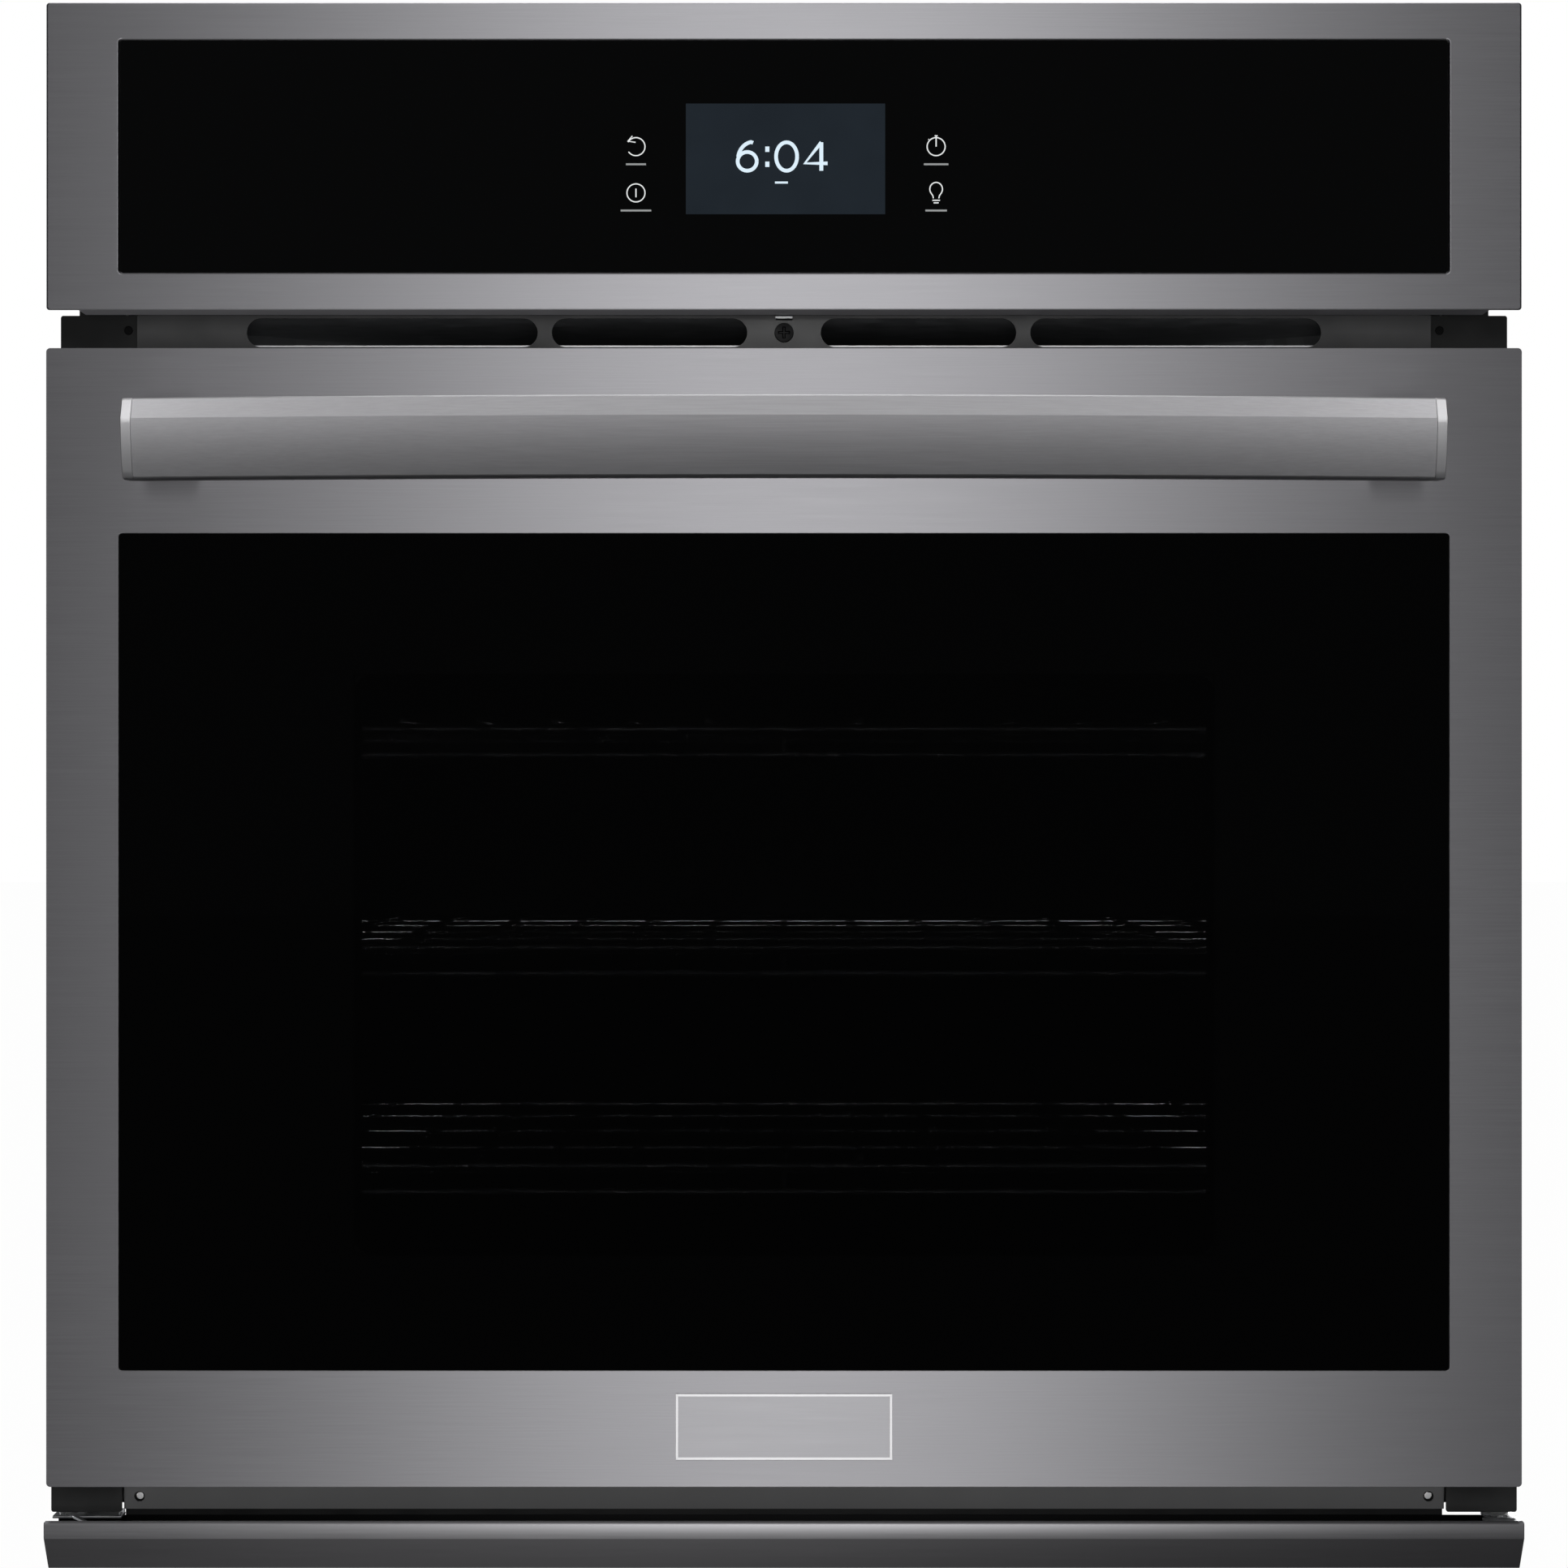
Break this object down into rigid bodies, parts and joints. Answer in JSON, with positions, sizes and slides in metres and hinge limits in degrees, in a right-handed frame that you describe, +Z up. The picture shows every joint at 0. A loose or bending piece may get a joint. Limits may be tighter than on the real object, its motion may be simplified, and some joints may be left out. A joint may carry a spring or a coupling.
{
  "type": "wall oven",
  "caption": "Built-in single wall oven with drop-down glazed door, bowed handle, touch control panel, vent slots, enamelled cavity, wire racks and convection fan.",
  "frame": {"origin": "middle of the width, on the plane of the cabinet's face, on the floor of the cabinet's cut-out (underside of the base)", "axes": "+X to the right seen from the front, +Y into the cabinet, +Z up"},
  "size_m": [0.6876, 0.678, 0.7296],
  "materials": {
    "galvanized_sheet": "galvanized, fine spangle, matt",
    "black_enamel": "satin black enamel",
    "cavity_enamel": "dark blue-grey porcelain enamel with fine light speckles",
    "insulation_wool": "glass wool",
    "gasket_fibre": "braided glass fibre",
    "dark_grey_steel": "satin dark grey",
    "black_stainless": "black stainless, brushed along the width",
    "zinc_plate": "bright zinc plate",
    "screw_steel": "plated steel",
    "black_glass": "back-printed black glass, polished",
    "window_glass": "low-emissivity oven glass",
    "display": "backlit display with plain clock digits",
    "circuit_board": "green solder mask",
    "heater_sheath": "oxidised alloy sheath",
    "motor_steel": "bare motor laminations and cap",
    "fan_aluminium": "pressed sheet",
    "lamp_ceramic": "steatite",
    "lamp_glass": "clear pressed glass",
    "sensor_steel": "stainless tube",
    "white_plastic": "moulded switch",
    "glass_carrier": "black coated sheet",
    "badge_metal": "plain unlettered plate, brushed",
    "rack_chrome": "bright plated wire"
  },
  "bodies": {
    "chassis": {"base_pan": "black_enamel", "side_panel_left": "galvanized_sheet", "side_panel_right": "galvanized_sheet", "top_cover": "galvanized_sheet", "back_cover": "galvanized_sheet", "front_frame": "black_enamel", "oven_liner": "cavity_enamel", "insulation": "insulation_wool", "door_gasket": "gasket_fibre", "side_trim_left": "black_enamel", "side_trim_right": "black_enamel", "vent_plate": "dark_grey_steel", "air_duct": "galvanized_sheet", "lower_strip": "dark_grey_steel", "bottom_trim": "black_stainless", "bottom_trim_brackets": "zinc_plate", "chassis_screws": "screw_steel", "control_housing": "galvanized_sheet", "control_fascia": "black_stainless", "control_glass": "black_glass", "display_module": "display", "touch_board": "circuit_board", "control_board": "circuit_board", "bake_element": "heater_sheath", "broil_element": "heater_sheath", "convection_element": "heater_sheath", "fan_cover": "cavity_enamel", "convection_motor": "motor_steel", "blower_housing": "galvanized_sheet", "blower_motor": "motor_steel", "lamp_sockets": "lamp_ceramic", "lamp_lenses": "lamp_glass", "temperature_sensor": "sensor_steel", "hinge_receivers": "zinc_plate", "hinge_arms": "zinc_plate", "latch_motor": "zinc_plate", "door_switch": "white_plastic", "conduit_gland": "zinc_plate"},
    "door": {"door_skin": "black_stainless", "door_glass": "black_glass", "glass_frame": "glass_carrier", "middle_glass": "window_glass", "inner_glass": "window_glass", "door_liner": "cavity_enamel", "door_insulation": "insulation_wool", "hinge_channels": "zinc_plate", "hinge_pins": "screw_steel", "hinge_springs": "screw_steel", "handle_bar": "black_stainless", "handle_end_caps": "black_stainless", "handle_posts": "black_stainless", "badge": "badge_metal"},
    "hinge_rods": {"hinge_rods": "screw_steel"},
    "convection_fan": {"convection_fan": "fan_aluminium"},
    "blower_wheel": {"blower_wheel": "fan_aluminium"},
    "latch_hook": {"latch_hook": "screw_steel"},
    "switch_plunger": {"switch_plunger": "white_plastic"},
    "upper_rack": {"upper_rack": "rack_chrome"},
    "middle_rack": {"middle_rack": "rack_chrome"},
    "lower_rack": {"lower_rack": "rack_chrome"}
  },
  "joints": [
    {"name": "door_hinge", "type": "hinge", "parent": "chassis", "child": "door", "pos_m": [0, -0.038, 0.03], "axis": [1, 0, 0], "range_deg": [0, 90], "stiffness_Nm_per_rad": 15, "springref_deg": -20.05},
    {"name": "hinge_rod_slide", "type": "slide", "parent": "door", "child": "hinge_rods", "axis": [0, 0, 1], "range_m": [-0.0256, 0], "deforming": ["hinge_springs"]},
    {"name": "convection_fan_spin", "type": "hinge", "parent": "chassis", "child": "convection_fan", "pos_m": [0, 0.48, 0.298], "axis": [0, 1, 0], "continuous": true},
    {"name": "blower_spin", "type": "hinge", "parent": "chassis", "child": "blower_wheel", "pos_m": [0, 0.33, 0.57], "axis": [0, 0, 1], "continuous": true},
    {"name": "latch_turn", "type": "hinge", "parent": "chassis", "child": "latch_hook", "pos_m": [-0.07, 0.025, 0.538], "axis": [0, 0, 1], "range_deg": [0, 18]},
    {"name": "switch_slide", "type": "slide", "parent": "chassis", "child": "switch_plunger", "axis": [0, -1, 0], "range_m": [0, 0.004]},
    {"name": "upper_rack_slide", "type": "slide", "parent": "chassis", "child": "upper_rack", "axis": [0, -1, 0], "range_m": [0, 0.04]},
    {"name": "middle_rack_slide", "type": "slide", "parent": "chassis", "child": "middle_rack", "axis": [0, -1, 0], "range_m": [0, 0.04]},
    {"name": "lower_rack_slide", "type": "slide", "parent": "chassis", "child": "lower_rack", "axis": [0, -1, 0], "range_m": [0, 0.04]}
  ],
  "couplings": [
    {"joint": "hinge_rod_slide", "follows": "door_hinge", "m_per_rad": -0.016206},
    {"joint": "switch_slide", "follows": "door_hinge", "m_per_rad": 0.0025}
  ]
}
